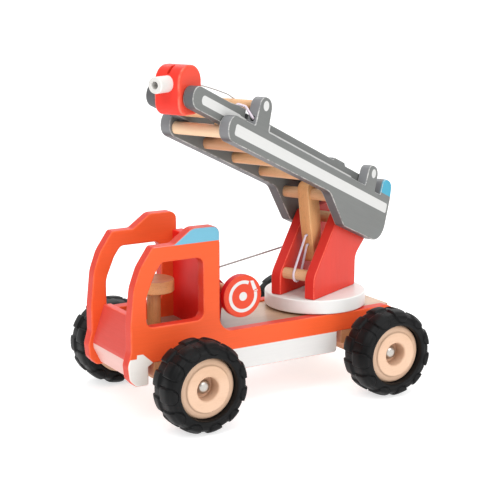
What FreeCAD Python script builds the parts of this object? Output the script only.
import FreeCAD, Part
import math
import os

# Wooden toy fire engine with a turning, luffing ladder.  All lengths in mm, angles in degrees.
# +X is the front of the truck, +Y its left side, +Z up, ground at Z = 0, X = 0 midway
# between the axles, Y = 0 on the centre plane.
# Heights in the script are measured from a level RIDE above the ground; save() adds it.
#
# Turret frame: origin on the turntable axis, turned by YAW about Z.
# Ladder frame: origin on the ladder pivot of the turret, u (as X) up along the ladder,
# v (as Z) square to it, tilted up by LUFF.
# Outlines are tables of (x, z, corner radius); on the ladder boards (u, v, corner radius).

os.makedirs("parts", exist_ok=True)
Vector = FreeCAD.Vector

# fits
RUN = 0.08                  # radial running clearance
GLUE = 0.03                 # radial glue gap
DOWEL_END_GAP = 0.1         # from a dowel's end to the bottom of its blind hole

# body boards
BODY_HALF_W = 34.9          # outer face of the side panels
BOARD_T = 9.0
IN_HALF_W = BODY_HALF_W - BOARD_T
EDGE_R = 1.2                # sanded edge round on the boards
RAIL_Z = 54.2               # top of the low side rail
DECK_Z0, DECK_Z1 = 40.8, 53.0
DECK_X0, DECK_X1 = -105.5, 99.0
REAR_X = -107.0
CAB_BACK_X0, CAB_BACK_X1 = 38.5, 47.0
CAB_BACK_TOP = 116.0

# axles and wheels
RIDE = 0.9
AXLE_X = 76.1
AXLE_Z = 30.3
ROD_R = 2.5
ROD_HALF_L = 68.4
BEAM_HALF_Y = 48.0          # end of the axle block
TYRE_R = AXLE_Z + RIDE
TYRE_W = 28.7
TYRE_Y = 64.6               # middle plane of a tyre
HUB_R = 21.0
LUGS = 11                   # lugs in each of the two rows
LUG_H = 1.2
GAP_W = 7.6                 # gap between two lugs
GROOVE_HALF_W = 0.8         # centre groove of the tread
LUG_PHASE = 31.5            # turns the gaps, from +X towards +Z
# name, axle x, side (1 = left)
WHEELS = (("front_left", AXLE_X, 1), ("front_right", AXLE_X, -1),
          ("rear_left", -AXLE_X, 1), ("rear_right", -AXLE_X, -1))

# chassis screws
SCREW_R = 1.5
SCREW_DX, SCREW_Y = 14.0, 15.0      # distance from the axle, and from the centre plane
SCREW_SEAT_Z = 33.3                 # upper face of the screw heads
SCREW_HEAD_T = 1.7

# steering column and wheel
COLUMN_R = 4.75
COLUMN_Z0, COLUMN_L = 45.2, 39.6
STEERING_R, STEERING_T = 14.25, 8.8
STEERING_Z0 = 80.5

# reel, drum and winch cord
REEL_X, REEL_Z = 23.3, 76.3
REEL_R = 15.0
REEL_Y0, REEL_Y1 = 25.3, 31.7
REEL_AXLE_R = 3.0
DRUM_Y, DRUM_HALF_W = -21.0, 3.9
DRUM_R = 6.25
FLANGE_R, FLANGE_T = 8.6, 1.05
CORD_R = 0.75

# turntable
TABLE_X = -57.7
TABLE_R = 37.1
TABLE_Z0, TABLE_Z1 = 54.7, 64.8
BOLT_R = 3.0
BOLT_Z0, BOLT_SEAT_Z = 43.2, 65.0
YAW = 25.4                  # turret heading at rest

# tower (turret frame)
TOWER_IN, TOWER_OUT = 10.0, 18.2
TOWER_TOP = 122.7
TOWER_BLIND = 14.3          # bottom of the blind dowel holes
TOWER_DOWELS = {"front": (25.5, 80.6), "rear": (-17.0, 116.0)}      # x, z
PIN_R = 3.0
PIN_Y = (TOWER_IN + TOWER_OUT) / 2
PINS = [(x, y) for y in (PIN_Y, -PIN_Y) for x in (20.0, -18.0)]
DOWEL_R = 4.1

# base ladder
LUFF = 22.0                 # ladder elevation at rest
PIVOT_X, PIVOT_Z = -38.0, 111.5     # in the turret frame
BASE_IN, BASE_OUT = 18.7, 26.7
BASE_BLIND = 23.75          # bottom of the blind dowel holes
RUNGS = [(u, 12.0) for u in (203.0, 166.0, 129.7, 93.0)]
PIVOT = (0, 0)
PROP = (55.9, 5.7)          # dowel that carries the prop strut
GUIDE = (173.8, 37.9)       # dowel between the front ears
GUIDE_R = 3.3
EAR_HOLE = (22.9, 27.4)     # y, v of the elastic hole in the front edge of the front ear

# fly ladder
FLY_IN, FLY_OUT = 10.2, 18.2
FLY_BLIND = 15.2
FLY_TOP = 31.5
FLY_RUNG_U0, FLY_RUNG_PITCH, FLY_RUNG_V = 22.0, 37.0, 23.0
FLY_RUNGS = [(FLY_RUNG_U0 + FLY_RUNG_PITCH * i, FLY_RUNG_V) for i in reversed(range(6))]
FLY_HOLE_U, FLY_HOLE_Y = 190.0, 14.6        # elastic hole in the left board
NOZZLE = (234.8, 24.0)
NOZZLE_PIN_R = 3.0
CORD_GAP = 0.06             # between a cord or elastic and the dowel it rounds

# nozzle (turret frame)
NOZZLE_HALF_W = 9.7
TUBE_Z, TUBE_R = 230.3, 5.15

# prop strut
PROP_LEAN = 9.5             # strut lean at rest
STRUT_HALF_W = 4.5
LOOP_HOLES = (-30.0, -37.5)         # heights of the elastic holes below the dowel
ELASTIC_R = 0.9


# ---------------------------------------------------------------------------
# shape helpers
# ---------------------------------------------------------------------------
def rounded_wire(points):
    """Closed wire in the XZ plane from (x, z, corner radius) points."""
    count = len(points)
    corners = []            # (start, end, arc middle or None) of each corner
    for i, (x, z, radius) in enumerate(points):
        corner = Vector(x, 0, z)
        before = Vector(points[i - 1][0], 0, points[i - 1][1])
        after = Vector(points[(i + 1) % count][0], 0, points[(i + 1) % count][1])
        back = (before - corner).normalize()
        ahead = (after - corner).normalize()
        angle = back.getAngle(ahead)
        if radius <= 0 or abs(angle - math.pi) < 1e-3:
            corners.append((corner, corner, None))
            continue
        # shorten the round where it would take half of a side or more
        trim = radius / math.tan(angle / 2.0)
        trim = min(trim, (before - corner).Length * 0.49, (after - corner).Length * 0.49)
        radius = trim * math.tan(angle / 2.0)
        bisector = (back + ahead).normalize()
        middle = corner + bisector * (radius / math.sin(angle / 2.0) - radius)
        corners.append((corner + back * trim, corner + ahead * trim, middle))
    edges = []
    for i, (start, end, middle) in enumerate(corners):
        if middle is not None:
            edges.append(Part.Arc(start, middle, end).toShape())
        following = corners[(i + 1) % count][0]
        if (following - end).Length > 1e-6:
            edges.append(Part.makeLine(end, following))
    return Part.Wire(edges)


def plate(points, y0, y1):
    """Board of the given outline between the planes y0 and y1."""
    board = Part.Face(rounded_wire(points)).extrude(Vector(0, y1 - y0, 0))
    board.translate(Vector(0, y0, 0))
    return board


def soften(board, y0, y1, radius):
    """Round the outline edges lying in the planes y = y0 and y = y1."""
    edges = []
    for edge in board.Edges:
        bounds = edge.BoundBox
        if bounds.YLength < 1e-6 and min(abs(bounds.YMin - y0), abs(bounds.YMin - y1)) < 1e-6:
            edges.append(edge)
    for factor in (1.0, 0.6, 0.35):
        # a fillet can fail on tight corners; a smaller radius is then used
        try:
            rounded = board.makeFillet(radius * factor, edges)
            if rounded.isValid() and rounded.Volume > 0.5 * board.Volume:
                return rounded
        except Exception:
            pass
    return board


def flat_edges(shape, axis):
    """Edges lying in a plane square to the axis "X", "Y" or "Z"."""
    return [e for e in shape.Edges if getattr(e.BoundBox, axis + "Length") < 1e-6]


def cyl_y(radius, x, z, y0, y1):
    return Part.makeCylinder(radius, y1 - y0, Vector(x, y0, z), Vector(0, 1, 0))


def cyl_z(radius, x, y, z, height):
    return Part.makeCylinder(radius, height, Vector(x, y, z))


def cyl_x(radius, x, y, z, length):
    return Part.makeCylinder(radius, length, Vector(x, y, z), Vector(1, 0, 0))


def dowel_y(radius, x, z, y0, y1, chamfer=0.5):
    dowel = cyl_y(radius, x, z, y0, y1)
    return dowel.makeChamfer(chamfer, flat_edges(dowel, "Y"))


def drill_y(shape, radius, places, y0, y1):
    """Cut a hole along Y at each (x, z) place."""
    for x, z in places:
        shape = shape.cut(cyl_y(radius, x, z, y0, y1))
    return shape


def box(x0, x1, y0, y1, z0, z1):
    return Part.makeBox(x1 - x0, y1 - y0, z1 - z0, Vector(x0, y0, z0))


def mirror_y(shape):
    return shape.mirror(Vector(0, 0, 0), Vector(0, 1, 0))


def on_side(shape, side):
    """Copy of a left-hand shape for the left (1) or right (-1) side."""
    return shape.copy() if side > 0 else mirror_y(shape)


def rod(start, end, radius):
    along = end - start
    return Part.makeCylinder(radius, along.Length, start, along)


def cord_chain(points, radius):
    """Round cord through the points, with balls at the bends."""
    cord = rod(points[0], points[1], radius)
    for bend, following in zip(points[1:], points[2:]):
        cord = cord.fuse(Part.makeSphere(radius, bend)).fuse(rod(bend, following, radius))
    return cord


def turned(profile):
    """Revolve a closed (radius, y) profile about Y.

    Entries are (radius, y) for a line, or (radius, y, radius, y) for an arc given by
    a point on it and its end.
    """
    first = Vector(profile[0][0], profile[0][1], 0)
    here = first
    edges = []
    for entry in profile[1:]:
        end = Vector(entry[-2], entry[-1], 0)
        if len(entry) == 2:
            edges.append(Part.makeLine(here, end))
        else:
            edges.append(Part.Arc(here, Vector(entry[0], entry[1], 0), end).toShape())
        here = end
    edges.append(Part.makeLine(here, first))
    return Part.Face(Part.Wire(edges)).revolve(Vector(0, 0, 0), Vector(0, 1, 0), 360)


def one(shape):
    shape = shape.removeSplitter()
    return shape.Solids[0] if len(shape.Solids) == 1 else shape


def save(name, *shapes):
    """Write the shapes as one piece, lifted to its height above the ground."""
    if len(shapes) == 1:
        piece = one(shapes[0])
    else:
        piece = Part.makeCompound([one(shape) for shape in shapes])
    assert piece.isValid(), name
    piece = piece.copy()
    piece.translate(Vector(0, 0, RIDE))
    piece.exportStep("parts/%s.step" % name)


# ---------------------------------------------------------------------------
# frames
# ---------------------------------------------------------------------------
def tilt(shape, degrees, x, z):
    """Turn a copy about the Y axis, then move its origin to (x, z)."""
    shape = shape.copy()
    shape.rotate(Vector(0, 0, 0), Vector(0, 1, 0), degrees)
    shape.translate(Vector(x, 0, z))
    return shape


def tilt_point(a, b, degrees, x, z):
    """The point that tilt() makes of (a, 0, b)."""
    cosine, sine = math.cos(math.radians(degrees)), math.sin(math.radians(degrees))
    return Vector(x + a * cosine + b * sine, 0, z - a * sine + b * cosine)


def to_turret(shape):
    shape = shape.copy()
    shape.rotate(Vector(0, 0, 0), Vector(0, 0, 1), YAW)
    shape.translate(Vector(TABLE_X, 0, 0))
    return shape


def to_ladder(shape):
    return to_turret(tilt(shape, -LUFF, PIVOT_X, PIVOT_Z))


def ladder_point(u, v):
    """Ladder coordinates to a point of the turret frame at y = 0."""
    return tilt_point(u, v, -LUFF, PIVOT_X, PIVOT_Z)


# ---------------------------------------------------------------------------
# body
# ---------------------------------------------------------------------------
# cab pillar, roof hump, low rail, bumper lobe and axle notches
PANEL_OUTLINE = [
    (98.6, 25.7, 1.5), (108.0, 25.7, 4.0), (113.0, 31.0, 5.0), (114.0, 40.5, 5.0),
    (111.3, 50.0, 6.0), (111.3, 68.0, 30.0), (108.6, 92.5, 25.0), (103.6, 106.0, 20.0),
    (94.2, 119.4, 2.5), (78.2, 119.4, 4.0), (64.6, 129.1, 8.0), (43.5, 128.8, 5.5),
    (43.5, RAIL_Z, 11.0), (REAR_X, RAIL_Z, 10.0), (REAR_X, 25.7, 5.0), (-98.6, 25.7, 1.5),
    (-98.6, 38.4, 0.8), (-94.6, DECK_Z0, 0.0), (-54.0, DECK_Z0, 0.8), (-54.0, 25.3, 2.5),
    (54.0, 25.3, 2.5), (54.0, DECK_Z0, 0.8), (94.6, DECK_Z0, 0.0), (98.6, 38.4, 0.8),
]
WINDOW_OUTLINE = [
    (56.1, 65.1, 5.5), (99.3, 65.1, 5.0), (99.3, 86.0, 18.0), (92.7, 101.4, 12.0),
    (87.6, 108.4, 5.0), (56.1, 108.4, 5.5),
]
# leans back above the bumper and tucks in below it
FRONT_OUTLINE = [
    (101.6, 68.5, 1.2), (110.4, 44.0, 6.0), (110.6, 39.0, 6.0), (104.8, 27.0, 1.5),
    (99.2, 27.0, 1.5), (104.6, 39.0, 3.0), (104.4, 43.0, 3.0), (95.2, 68.5, 1.2),
]


def side_panels():
    panel = plate(PANEL_OUTLINE, IN_HALF_W, BODY_HALF_W)
    panel = panel.cut(plate(WINDOW_OUTLINE, IN_HALF_W - 1, BODY_HALF_W + 1))
    panel = soften(panel, IN_HALF_W, BODY_HALF_W, EDGE_R)
    save("side_panel_left", panel)
    save("side_panel_right", mirror_y(panel))


def front_board():
    save("front_board", plate(FRONT_OUTLINE, -IN_HALF_W, IN_HALF_W))


def screw_places(end):
    """(x, y) of the four screws at the front (1) or rear (-1) axle."""
    return [(end * (AXLE_X + dx), y) for dx in (-SCREW_DX, SCREW_DX)
            for y in (-SCREW_Y, SCREW_Y)]


def deck_board():
    deck = box(DECK_X0, DECK_X1, -IN_HALF_W, IN_HALF_W, DECK_Z0, DECK_Z1)
    deck = deck.cut(cyl_z(COLUMN_R + RUN, AXLE_X, 0, COLUMN_Z0 - 0.2, 10))
    deck = deck.cut(cyl_z(BOLT_R + GLUE, TABLE_X, 0, BOLT_Z0 - 0.2, 12))
    # the front edge follows the back of the front board
    deck = deck.cut(plate(FRONT_OUTLINE, -IN_HALF_W - 1, IN_HALF_W + 1))
    for x, y in screw_places(1) + screw_places(-1):
        deck = deck.cut(cyl_z(SCREW_R + GLUE, x, y, DECK_Z0 - 1, 9.0))
    save("deck_board", deck)


def cab_back_board():
    board = box(CAB_BACK_X0, CAB_BACK_X1, -IN_HALF_W, IN_HALF_W, DECK_Z1, CAB_BACK_TOP)
    top_edges = [e for e in board.Edges if e.BoundBox.YLength > 40 and e.BoundBox.ZMin > 100]
    save("cab_back_board", board.makeFillet(EDGE_R, top_edges))


# ---------------------------------------------------------------------------
# axles
# ---------------------------------------------------------------------------
def axle_beam(name, end):
    """A flat board between the panel notches over a narrow axle block."""
    x_mid = end * AXLE_X
    board = box(x_mid - 18.4, x_mid + 18.4, -BODY_HALF_W, BODY_HALF_W, 31.3, DECK_Z0)
    block = box(x_mid - 9.0, x_mid + 9.0, -BEAM_HALF_Y, BEAM_HALF_Y, 22.0, 38.5)
    block = block.makeFillet(1.5, [e for e in block.Edges if e.BoundBox.YLength > 50])
    beam = board.fuse(block).removeSplitter()
    beam = drill_y(beam, ROD_R + GLUE, [(x_mid, AXLE_Z)], -60, 60)
    below = 20.0            # a level below the beam
    for x, y in screw_places(end):
        beam = beam.cut(cyl_z(SCREW_R + GLUE, x, y, below, 30))
        beam = beam.cut(cyl_z(3.3, x, y, below, SCREW_SEAT_Z - below))
    save(name, beam)


def chassis_screws():
    screws = []
    for x, y in screw_places(1) + screw_places(-1):
        shank = cyl_z(SCREW_R, x, y, SCREW_SEAT_Z, 14.5)
        head = cyl_z(3.1, x, y, SCREW_SEAT_Z - SCREW_HEAD_T, SCREW_HEAD_T)
        slot = box(x - 4, x + 4, y - 0.4, y + 0.4, 31.0, 32.4)
        screws.append(shank.fuse(head).cut(slot))
    save("chassis_screws", *screws)


def axle_rods():
    for name, x in (("front_axle_rod", AXLE_X), ("rear_axle_rod", -AXLE_X)):
        save(name, dowel_y(ROD_R, x, AXLE_Z, -ROD_HALF_L, ROD_HALF_L, 0.3))


def axle_caps():
    """Short drums with a large rounded crown, blind on the rod ends."""
    inner_y = 66.2
    outer_y = inner_y + 4.4
    cap = cyl_y(5.0, 0, 0, inner_y, outer_y)
    crown = [e for e in cap.Edges if abs(e.BoundBox.YMin - outer_y) < 0.01
             and abs(e.BoundBox.YMax - outer_y) < 0.01]
    cap = cap.makeFillet(3.3, crown)
    cap = cap.cut(cyl_y(ROD_R + GLUE, 0, 0, inner_y - 1, ROD_HALF_L + 0.1))
    caps = []
    for _, axle_x, side in WHEELS:
        placed = on_side(cap, side)
        placed.translate(Vector(axle_x, 0, AXLE_Z))
        caps.append(placed)
    save("axle_caps", *caps)


def axle_washers():
    y0 = BEAM_HALF_Y + 0.05
    washers = []
    for _, axle_x, side in WHEELS:
        washer = cyl_y(7.0, axle_x, AXLE_Z, y0, y0 + 2.0)
        washer = washer.cut(cyl_y(ROD_R + RUN, axle_x, AXLE_Z, y0 - 1, y0 + 3))
        washers.append(on_side(washer, side))
    save("axle_washers", *washers)


# ---------------------------------------------------------------------------
# wheels, built for the left side about the Y axis
# ---------------------------------------------------------------------------
HUB_PROFILE = [
    (ROD_R + RUN, 50.3), (20.0, 50.3), (HUB_R, 51.3), (HUB_R, 71.2),
    (20.45, 72.75, 19.2, 73.6), (17.0, 74.35), (16.35, 74.75, 16.0, 75.35),
    (15.6, 75.75, 15.0, 75.9), (9.8, 75.9), (8.55, 75.4, 8.0, 74.1),
    (8.0, 65.3), (ROD_R + RUN, 65.3),
]
TYRE_Y0, TYRE_Y1 = TYRE_Y - TYRE_W / 2, TYRE_Y + TYRE_W / 2
BORE_R = HUB_R + 0.05
TYRE_PROFILE = [
    (BORE_R, TYRE_Y0 + 2.6), (BORE_R + 0.75, TYRE_Y0 + 0.75, BORE_R + 2.6, TYRE_Y0),
    (25.0, TYRE_Y0), (29.4, TYRE_Y0 + 1.8, TYRE_R, TYRE_Y0 + 6.2),
    (TYRE_R, TYRE_Y1 - 6.2), (29.4, TYRE_Y1 - 1.8, 25.0, TYRE_Y1),
    (BORE_R + 2.6, TYRE_Y1), (BORE_R + 0.75, TYRE_Y1 - 0.75, BORE_R, TYRE_Y1 - 2.6),
]


def lug_gap(side, angle):
    """Cutter between two lugs; angle about the axle from +X towards +Z."""
    if side > 0:
        y0, y1 = TYRE_Y + GROOVE_HALF_W, TYRE_Y1 + 1
    else:
        y0, y1 = TYRE_Y0 - 1, TYRE_Y - GROOVE_HALF_W
    gap = box(-GAP_W / 2, GAP_W / 2, y0, y1, TYRE_R - LUG_H, TYRE_R + 1)
    # the gap runs down over the shoulder
    shoulder = box(-GAP_W / 2, GAP_W / 2, -9, 9, 0, 4.0)
    shoulder.rotate(Vector(0, 0, 0), Vector(1, 0, 0), -45 * side)
    shoulder.translate(Vector(0, TYRE_Y + side * (TYRE_W / 2 - 3.1), TYRE_R - 3.1))
    gap = gap.fuse(shoulder)
    gap.rotate(Vector(0, 0, 0), Vector(0, 1, 0), 90.0 - angle)
    return gap


def treaded_tyre():
    """Tyre with a centre groove and two staggered rows of broad lugs."""
    groove_y = (TYRE_Y - GROOVE_HALF_W, TYRE_Y + GROOVE_HALF_W)
    groove = cyl_y(TYRE_R + 1, 0, 0, *groove_y).cut(cyl_y(TYRE_R - LUG_H, 0, 0, *groove_y))
    cutters = [groove]
    for i in range(LUGS):
        for side, stagger in ((1, 0.5), (-1, 0.0)):
            cutters.append(lug_gap(side, LUG_PHASE + 360.0 / LUGS * (i + stagger)))
    return turned(TYRE_PROFILE).cut(Part.makeCompound(cutters))


def wheels():
    for prefix, shape in (("hub_", turned(HUB_PROFILE)), ("tyre_", treaded_tyre())):
        for name, axle_x, side in WHEELS:
            placed = on_side(shape, side)
            placed.translate(Vector(axle_x, 0, AXLE_Z))
            save(prefix + name, placed)


# ---------------------------------------------------------------------------
# steering, reel and drum
# ---------------------------------------------------------------------------
def steering():
    save("steering_column", cyl_z(COLUMN_R, AXLE_X, 0, COLUMN_Z0, COLUMN_L))
    wheel = cyl_z(STEERING_R, AXLE_X, 0, STEERING_Z0, STEERING_T)
    wheel = wheel.makeFillet(1.0, flat_edges(wheel, "Z"))
    wheel = wheel.cut(cyl_z(COLUMN_R + GLUE, AXLE_X, 0, STEERING_Z0 - 0.1, 4.5))
    save("steering_wheel", wheel)


STAND_BACK_X = CAB_BACK_X0 - GLUE
STAND_OUTLINE = [
    (STAND_BACK_X, DECK_Z1, 0), (STAND_BACK_X, 83.9, 0), (24.6, 83.9, 4.0),
    (15.5, 74.3, 4.0), (15.5, 65.5, 4.0), (20.8, 60.5, 3.0), (21.6, DECK_Z1, 0),
]


def reel():
    centre = [(REEL_X, REEL_Z)]
    stand = plate(STAND_OUTLINE, -11.3, -2.3)
    save("reel_stand", drill_y(stand, REEL_AXLE_R + RUN, centre, -12, 0))
    hole_end = REEL_Y1 - 2.3
    axle = dowel_y(REEL_AXLE_R, REEL_X, REEL_Z, -25.5, hole_end - DOWEL_END_GAP, 0.4)
    save("reel_axle", axle)
    disc = cyl_y(REEL_R, REEL_X, REEL_Z, REEL_Y0, REEL_Y1)
    disc = disc.makeFillet(1.2, flat_edges(disc, "Y"))
    save("reel_disc", drill_y(disc, REEL_AXLE_R + GLUE, centre, REEL_Y0 - 1, hole_end))


def winch_drum():
    y0, y1 = DRUM_Y - DRUM_HALF_W, DRUM_Y + DRUM_HALF_W
    drum = cyl_y(DRUM_R, REEL_X, REEL_Z, y0, y1)
    drum = drum.fuse(cyl_y(FLANGE_R, REEL_X, REEL_Z, y0, y0 + FLANGE_T))
    drum = drum.fuse(cyl_y(FLANGE_R, REEL_X, REEL_Z, y1 - FLANGE_T, y1))
    save("winch_drum", drill_y(drum, REEL_AXLE_R + GLUE, [(REEL_X, REEL_Z)], -26, -16))


def cord_wraps():
    wraps = [Part.makeTorus(DRUM_R + CORD_R + 0.03, CORD_R,
                            Vector(REEL_X, DRUM_Y + dy, REEL_Z), Vector(0, 1, 0))
             for dy in (-1.98, 1.65)]
    save("cord_wraps", *wraps)


def winch_cord():
    """Cord from the top of the drum to the heel of the right base ladder board."""
    heel = ladder_point(-12.0, -12.0)
    heel_y = -20.6
    cosine, sine = math.cos(math.radians(YAW)), math.sin(math.radians(YAW))
    end = Vector(TABLE_X + heel.x * cosine - heel_y * sine,
                 heel.x * sine + heel_y * cosine, heel.z)
    wrap_r = DRUM_R + CORD_R + 0.04
    dx, dz = end.x - REEL_X, end.z - REEL_Z
    angle = math.atan2(dz, dx) - math.acos(wrap_r / math.hypot(dx, dz))
    start = Vector(REEL_X + wrap_r * math.cos(angle), DRUM_Y,
                   REEL_Z + wrap_r * math.sin(angle))
    save("winch_cord", rod(start, end, CORD_R).fuse(Part.makeSphere(1.2, end)))


# ---------------------------------------------------------------------------
# turntable and tower
# ---------------------------------------------------------------------------
def turntable():
    disc = cyl_z(TABLE_R, 0, 0, TABLE_Z0, TABLE_Z1 - TABLE_Z0)
    disc = disc.makeFillet(0.8, flat_edges(disc, "Z"))
    disc = disc.cut(cyl_z(BOLT_R + RUN, 0, 0, TABLE_Z0 - 2, 20))
    for x, y in PINS:
        disc = disc.cut(cyl_z(PIN_R + GLUE, x, y, 58.0, 10))
    save("turntable_disc", to_turret(disc))
    save("tower_pins", *[to_turret(cyl_z(PIN_R, x, y, 58.2, 13.4)) for x, y in PINS])
    washer = cyl_z(12.0, TABLE_X, 0, DECK_Z1, 1.62)
    save("turntable_washer", washer.cut(cyl_z(BOLT_R + RUN, TABLE_X, 0, DECK_Z1 - 1, 4)))


def turntable_bolt():
    head_r = 6.5
    bolt = cyl_z(BOLT_R, TABLE_X, 0, BOLT_Z0, BOLT_SEAT_Z - BOLT_Z0)
    head = cyl_z(head_r, TABLE_X, 0, BOLT_SEAT_Z, 1.0)
    dome = Part.makeSphere(9.0, Vector(TABLE_X, 0, 60.0))
    dome = dome.common(cyl_z(head_r, TABLE_X, 0, BOLT_SEAT_Z + 0.9, 6))
    bolt = bolt.fuse(head).fuse(dome)
    slot = box(TABLE_X - 8, TABLE_X + 8, -0.6, 0.6, 67.4, 72)
    save("turntable_bolt", bolt.cut(slot))


TOWER_OUTLINE = [
    (31.8, TABLE_Z1, 1.5), (31.8, 81.0, 12.0), (-3.6, TOWER_TOP, 4.0),
    (-49.0, TOWER_TOP, 11.0), (-51.8, 104.0, 6.0), (-28.2, 87.2, 10.0),
    (-27.9, TABLE_Z1, 1.5),
]


def tower():
    board = plate(TOWER_OUTLINE, TOWER_IN, TOWER_OUT)
    board = soften(board, TOWER_IN, TOWER_OUT, 1.0)
    board = drill_y(board, DOWEL_R + RUN, [(PIVOT_X, PIVOT_Z)], 0, 30)
    board = drill_y(board, DOWEL_R + GLUE, TOWER_DOWELS.values(), 0, TOWER_BLIND)
    for x, y in PINS:
        if y > 0:
            board = board.cut(cyl_z(PIN_R + GLUE, x, y, TABLE_Z1 - 1, 8))
    save("tower_board_left", to_turret(board))
    save("tower_board_right", to_turret(mirror_y(board)))
    half = TOWER_BLIND - DOWEL_END_GAP
    for name, (x, z) in TOWER_DOWELS.items():
        save("tower_dowel_" + name, to_turret(dowel_y(DOWEL_R, x, z, -half, half)))


# ---------------------------------------------------------------------------
# ladders
# ---------------------------------------------------------------------------
BASE_OUTLINE = [
    (210.0, 6.0, 8.1), (210.0, 23.0, 8.1), (181.0, 23.0, 1.2), (180.6, 43.6, 7.0),
    (166.4, 43.6, 6.5), (164.6, 23.0, 1.5), (21.2, 23.0, 1.2), (20.2, 39.6, 6.0),
    (5.6, 39.6, 6.5), (5.2, 22.0, 1.2), (-4.6, 22.0, 1.2), (-5.6, 35.2, 5.5),
    (-19.4, 35.2, 6.5), (-21.3, 22.0, 12.0), (-21.1, -12.2, 15.0), (40.5, -12.2, 6.0),
    (70.0, 6.0, 14.0),
]
FLY_OUTLINE = [
    (241.8, 17.0, 6.9), (241.8, FLY_TOP, 6.9), (201.0, FLY_TOP, 20.0), (192.0, 32.5, 10.0),
    (183.3, 32.5, 1.0), (182.0, 30.6, 0.8), (173.0, 29.4, 6.0), (163.0, 29.6, 4.0),
    (152.0, FLY_TOP, 3.0), (60.3, FLY_TOP, 1.0), (58.3, 33.4, 0.8), (43.5, 33.4, 0.8),
    (41.5, FLY_TOP, 1.0), (6.0, FLY_TOP, 4.0), (6.0, 17.0, 4.0),
]


def save_ladder_dowels(name, radius, places, blind):
    """Dowels across the ladder at (u, v) places, ending short of the blind holes."""
    half = blind - DOWEL_END_GAP
    save(name, *[to_ladder(dowel_y(radius, u, v, -half, half)) for u, v in places])


def base_ladder():
    board = plate(BASE_OUTLINE, BASE_IN, BASE_OUT)
    board = soften(board, BASE_IN, BASE_OUT, 1.0)
    board = drill_y(board, DOWEL_R + GLUE, [PIVOT, PROP] + RUNGS, 10, BASE_BLIND)
    board = drill_y(board, GUIDE_R + GLUE, [GUIDE], 10, BASE_BLIND)
    board = board.cut(cyl_x(1.9, 174.5, EAR_HOLE[0], EAR_HOLE[1], 8.0))
    save("base_ladder_board_left", to_ladder(board))
    save("base_ladder_board_right", to_ladder(mirror_y(board)))
    save_ladder_dowels("base_ladder_rungs", DOWEL_R, RUNGS, BASE_BLIND)
    save_ladder_dowels("ladder_pivot_dowel", DOWEL_R, [PIVOT], BASE_BLIND)
    save_ladder_dowels("prop_dowel", DOWEL_R, [PROP], BASE_BLIND)
    save_ladder_dowels("guide_dowel_front", GUIDE_R, [GUIDE], BASE_BLIND)


def fly_ladder():
    board = plate(FLY_OUTLINE, FLY_IN, FLY_OUT)
    board = soften(board, FLY_IN, FLY_OUT, 0.9)
    board = drill_y(board, DOWEL_R + GLUE, FLY_RUNGS, 0, FLY_BLIND)
    board = drill_y(board, NOZZLE_PIN_R + GLUE, [NOZZLE], 0, FLY_BLIND)
    # slot in the outer face beside the hump
    board = board.cut(box(180.4, 183.1, 14.2, 19.0, 26.6, 34.0))
    save("fly_ladder_board_right", to_ladder(mirror_y(board)))
    # only the left board has the elastic hole
    board = board.cut(cyl_z(1.3, FLY_HOLE_U, FLY_HOLE_Y, 28.0, 8.0))
    save("fly_ladder_board_left", to_ladder(board))
    save_ladder_dowels("fly_ladder_rungs", DOWEL_R, FLY_RUNGS, FLY_BLIND)
    save_ladder_dowels("nozzle_pivot_dowel", NOZZLE_PIN_R, [NOZZLE], FLY_BLIND)


def nozzle_cord():
    """From the rear fly rung, over the front guide dowel, to the nozzle block."""
    radius = 0.45
    # bends 12 degrees apart, set out so that the straights clear the dowel
    bend_r = (GUIDE_R + radius + CORD_GAP) / math.cos(math.radians(6))
    points = [ladder_point(FLY_RUNG_U0, FLY_RUNG_V + DOWEL_R + radius + CORD_GAP)]
    for degrees in (97.0, 85.0, 73.0):
        points.append(ladder_point(GUIDE[0] + bend_r * math.cos(math.radians(degrees)),
                                   GUIDE[1] + bend_r * math.sin(math.radians(degrees))))
    # x, z in the turret frame
    for x, z in ((120.5, 220.2), (128.4, 222.5), (137.3, 224.9), (143.1, 226.2),
                 (158.8, 229.4)):
        points.append(Vector(x, 0, z))
    save("nozzle_cord", to_turret(cord_chain(points, radius)))


def fly_elastic():
    """From the left fly board to the front ear of the left base board."""
    ear_y, ear_v = EAR_HOLE
    path = [
        (FLY_HOLE_U, FLY_HOLE_Y, 29.6), (FLY_HOLE_U, FLY_HOLE_Y, 33.75), (184.8, 18.3, 33.75),
        (182.2, 22.6, 28.6), (180.9, ear_y, 27.7), (179.0, ear_y, ear_v), (176.0, ear_y, ear_v),
    ]
    save("fly_elastic", to_ladder(cord_chain([Vector(*point) for point in path], 0.95)))


# ---------------------------------------------------------------------------
# nozzle, level at rest
# ---------------------------------------------------------------------------
NOZZLE_OUTLINE = [(156.5, 210.6, 8.0), (180.3, 210.6, 8.0), (180.3, 241.4, 10.8),
                  (156.5, 241.4, 10.5)]


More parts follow.
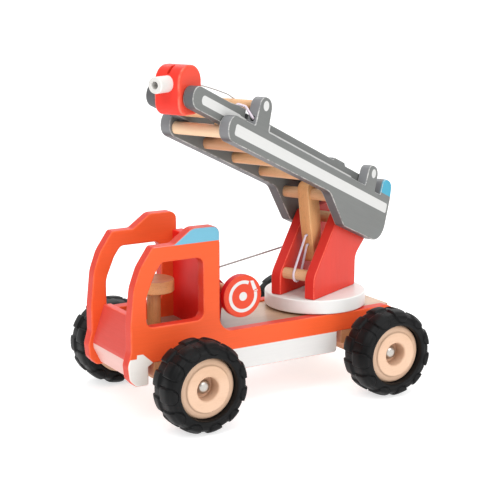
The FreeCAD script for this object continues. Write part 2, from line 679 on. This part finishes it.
def nozzle():
    pin = ladder_point(*NOZZLE)
    block = plate(NOZZLE_OUTLINE, -NOZZLE_HALF_W, NOZZLE_HALF_W)
    block = soften(block, -NOZZLE_HALF_W, NOZZLE_HALF_W, 1.8)
    block = drill_y(block, NOZZLE_PIN_R + RUN, [(pin.x, pin.z)], -20, 20)
    # slot above the tube, then the tube socket in front and the cord hole behind
    block = block.cut(box(172.0, 182.0, -1.1, 1.1, TUBE_Z + 5.9, 245))
    block = block.cut(cyl_x(TUBE_R + GLUE, 174.0, 0, TUBE_Z, 10))
    block = block.cut(cyl_x(1.1, 155.5, 0, 229.2, 4.2))
    save("nozzle_block", to_turret(block))

    tube = cyl_x(TUBE_R, 174.1, 0, TUBE_Z, 18.0)
    tube = tube.makeFillet(0.8, [e for e in flat_edges(tube, "X") if e.BoundBox.XMin > 190])
    tube = tube.cut(cyl_x(2.4, 180.0, 0, TUBE_Z, 14.0))
    save("nozzle_tube", to_turret(tube))


# ---------------------------------------------------------------------------
# prop strut hanging from the prop dowel, with its elastic loop
# ---------------------------------------------------------------------------
# about the dowel axis, before leaning
STRUT_OUTLINE = [
    (-8.5, 9.0, 6.5), (6.5, 9.0, 5.5), (6.5, -20.0, 20.0), (4.6, -52.0, 3.5),
    (-4.6, -52.0, 3.5), (-8.5, -22.0, 20.0),
]


def prop_strut():
    strut = plate(STRUT_OUTLINE, -STRUT_HALF_W, STRUT_HALF_W)
    strut = soften(strut, -STRUT_HALF_W, STRUT_HALF_W, 0.9)
    strut = drill_y(strut, DOWEL_R + RUN, [(0, 0)], -10, 10)
    for height in LOOP_HOLES:
        strut = strut.cut(cyl_x(1.3, -20, 0, height, 40))
    dowel = ladder_point(*PROP)
    save("prop_strut", to_turret(tilt(strut, PROP_LEAN, dowel.x, dowel.z)))


def tangent(point, centre, radius, sign):
    """Touching point on a circle of the line from a point, and its angle in radians."""
    away = point - centre
    angle = math.atan2(away.z, away.x) + sign * math.acos(radius / away.Length)
    return circle_point(centre, radius, angle), angle


def circle_point(centre, radius, angle):
    return Vector(centre.x + radius * math.cos(angle), 0, centre.z + radius * math.sin(angle))


def elastic_loop():
    """Loop through both strut holes and round the front tower dowel."""
    dowel = ladder_point(*PROP)

    def strut_point(a, b):
        return tilt_point(a, b, PROP_LEAN, dowel.x, dowel.z)

    high, low = LOOP_HOLES
    high_rear, high_front = strut_point(-9.8, high), strut_point(7.4, high)
    low_rear, low_front = strut_point(-9.4, low), strut_point(6.9, low)
    x, z = TOWER_DOWELS["front"]
    centre = Vector(x, 0, z)
    wrap_r = DOWEL_R + ELASTIC_R + CORD_GAP
    start, start_angle = tangent(high_front, centre, wrap_r, -1)
    end, end_angle = tangent(low_front, centre, wrap_r, 1)
    while end_angle > start_angle:
        end_angle -= 2 * math.pi
    middle = circle_point(centre, wrap_r, 0.5 * (start_angle + end_angle))
    arc = Part.Arc(start, middle, end).toShape()
    along = Vector(-math.sin(start_angle), 0, math.cos(start_angle))
    section = Part.Wire([Part.makeCircle(ELASTIC_R, start, along)])
    loop = Part.Wire([arc]).makePipeShell([section], True, False)
    for first, last in ((high_front, start), (low_front, end), (high_rear, high_front),
                        (low_rear, low_front), (high_rear, low_rear)):
        loop = loop.fuse(rod(first, last, ELASTIC_R))
    for bend in (high_rear, high_front, low_rear, low_front):
        loop = loop.fuse(Part.makeSphere(ELASTIC_R, bend))
    save("elastic_loop", to_turret(loop))


side_panels()
front_board()
deck_board()
cab_back_board()
axle_beam("front_axle_beam", 1)
axle_beam("rear_axle_beam", -1)
chassis_screws()
axle_rods()
axle_caps()
axle_washers()
wheels()
steering()
reel()
winch_drum()
cord_wraps()
turntable()
turntable_bolt()
tower()
base_ladder()
fly_ladder()
nozzle_cord()
fly_elastic()
nozzle()
prop_strut()
elastic_loop()
winch_cord()
